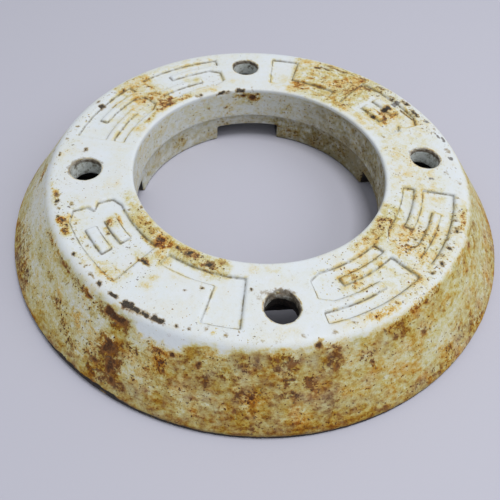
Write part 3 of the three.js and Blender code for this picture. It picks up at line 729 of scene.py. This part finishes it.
# bare primer, dark chips with a rusty rim
paint = k.mix(k.step(k.math("ADD", k.attr("grey"), centred(mid, 1.1)), 0.36, 0.60), paint, k.ramp(fine, [(0.3, (98, 95, 93)), (0.7, (146, 144, 141))]))
chipv = k.math("ADD", k.attr("chip"), k.math("ADD", centred(mid, 1.15), k.math("MULTIPLY", k.math("SUBTRACT", fine, 0.5), k.math("MULTIPLY_ADD", low, -0.25, 0.45))))
chipped = k.mix(low, k.step(chipv, 0.50, 0.62), k.step(chipv, 0.40, 0.78))
paint = k.mix(k.math("MULTIPLY", k.step(chipv, 0.12, 0.52), 0.72), paint, k.mix(face, linear((138, 92, 44)), linear((132, 108, 74))))
dark_flank = k.ramp(fine, [(0.32, (52, 31, 15)), (0.68, (97, 60, 29))])
dark_face = k.ramp(fine, [(0.32, (44, 40, 34)), (0.68, (78, 69, 58))])
paint = k.mix(chipped, paint, k.mix(face, dark_flank, dark_face))
# small dark dots where the paint is specked
shifted = k.new("ShaderNodeVectorMath", operation="ADD")
k.link(pos, shifted.inputs[0])
shifted.inputs[1].default_value = (3.1, 1.7, 0.9)
dots = k.noise(shifted.outputs[0], 430.0, 1.5, 0.5)
dots = k.step(k.math("SUBTRACT", dots, k.math("MULTIPLY_ADD", k.attr("speck"), -0.25, 0.775)), 0.0, 0.05)
paint = k.mix(k.math("MULTIPLY", dots, 0.75), paint, k.ramp(fine, [(0.3, (70, 52, 36)), (0.7, (108, 88, 66))]))
# hole walls, grimy in places, with their palest paint whiter than the top's as painted light bounced into the holes;
# then grime and painted shade in the bore
hole_wall_grime_and_light = k.ramp(k.math("ADD", k.math("ADD", mid, centred(fine, 0.45)), centred(slow, 0.9)), [(0.24, (90, 84, 74)), (0.38, (170, 168, 158)), (0.50, (216, 222, 218)), (0.74, (236, 240, 240))])
paint = k.mix(k.attr("wall"), paint, hole_wall_grime_and_light)
# painted shade and wear: the hole rings go dark grey-brown
paint = k.mix(k.step(k.math("ADD", k.attr("ring"), centred(mid, 1.2)), 0.22, 0.72), paint, k.ramp(mid, [(0.36, (74, 64, 52)), (0.5, (112, 102, 88)), (0.64, (150, 142, 130))]))
# painted shade and grime: the bore's colour is multiplied toward a brownish grey
paint = k.mix(k.math("MULTIPLY", k.attr("bore_grime_and_shade"), k.math("MULTIPLY_ADD", mid, 0.6, 0.6), clamp=True), paint, k.mix(1.0, paint, linear((163, 153, 127)), "MULTIPLY"))
# dark iron colour for the foot, the undersides and the near hole's depths, partly painted shade
bare_iron_and_shade_colour = k.ramp(mid, [(0.30, (30, 27, 26)), (0.55, (46, 41, 39)), (0.75, (84, 66, 52))])
colour = k.mix(k.step(k.math("ADD", k.attr("iron_and_shade_mask"), centred(fine, 0.5)), 0.35, 0.65), paint, bare_iron_and_shade_colour)

surface = k.new("ShaderNodeBsdfPrincipled")
k.link(colour, surface.inputs["Base Color"])
k.link(k.math("MULTIPLY_ADD", k.math("MINIMUM", s4, 0.8), 0.42, 0.50), surface.inputs["Roughness"])
surface.inputs["Specular IOR Level"].default_value = 0.35
height = k.math("ADD", k.math("MULTIPLY", fine, 0.5), k.math("MULTIPLY", mid, 0.7))
height = k.math("MULTIPLY", height, k.math("MULTIPLY_ADD", k.math("MINIMUM", s4, 0.8), 1.0, 0.22))
height = k.math("MULTIPLY_ADD", chipped, -0.45, height)
bump = k.new("ShaderNodeBump")
bump.inputs["Strength"].default_value = 0.7
bump.inputs["Distance"].default_value = 0.0007
k.link(height, bump.inputs["Height"])
k.link(bump.outputs["Normal"], surface.inputs["Normal"])
end = k.new("ShaderNodeOutputMaterial")
k.link(surface.outputs[0], end.inputs["Surface"])
mesh.materials.append(mat)

# ------------------------------------------------------------------ the stage
floor_mesh = bpy.data.meshes.new("floor")
s = 6.0
floor_mesh.from_pydata([(-s, -s, 0), (s, -s, 0), (s, s, 0), (-s, s, 0)], [], [(0, 1, 2, 3)])
floor = bpy.data.objects.new("floor", floor_mesh)
bpy.context.scene.collection.objects.link(floor)
fm = bpy.data.materials.new("floor")
fm.use_nodes = True
fb = fm.node_tree.nodes["Principled BSDF"]
fb.inputs["Base Color"].default_value = linear((186, 186, 199))
fb.inputs["Roughness"].default_value = 0.6
fb.inputs["Specular IOR Level"].default_value = 0.3
floor_mesh.materials.append(fm)

world = bpy.data.worlds.new("studio")
bpy.context.scene.world = world
world.use_nodes = True
bg = world.node_tree.nodes["Background"]
bg.inputs["Color"].default_value = (0.96, 0.98, 1.0, 1)
bg.inputs["Strength"].default_value = 0.45


def area(name, loc, target, size, energy, color=(1, 1, 1)):
    d = bpy.data.lights.new(name, "AREA")
    d.shape = "RECTANGLE"
    d.size, d.size_y = size
    d.energy = energy
    d.color = color
    o = bpy.data.objects.new(name, d)
    o.location = loc
    o.rotation_euler = (Vector(target) - Vector(loc)).to_track_quat("-Z", "Y").to_euler()
    bpy.context.scene.collection.objects.link(o)
    return o


area("key", (0.42, -0.10, 2.2), (0, 0, 0.03), (0.75, 0.75), 25.8, (1.0, 1.0, 1.0))
area("side", (1.6, -0.5, 1.5), (0, 0, 0.03), (1.2, 1.2), 11, (1.0, 1.0, 1.0))

# ----------------------------------------------------------------- the camera
cam_data = bpy.data.cameras.new("camera")
cam_data.sensor_width = 36
cam_data.lens = 38.583
cam_data.clip_start, cam_data.clip_end = 0.01, 50
cam = bpy.data.objects.new("camera", cam_data)
bpy.context.scene.collection.objects.link(cam)
right = Vector((0.994992, -0.09171, 0.039762)).normalized()
back = -Vector((0.088582, 0.624682, -0.775839)).normalized()
upv = back.cross(right).normalized()
right = upv.cross(back).normalized()
m = Matrix((right, upv, back)).transposed().to_4x4()
m.translation = Vector((-0.049832, -0.323864, 0.346226))
cam.matrix_world = m
bpy.context.scene.camera = cam
bpy.context.scene.view_settings.view_transform = "Standard"
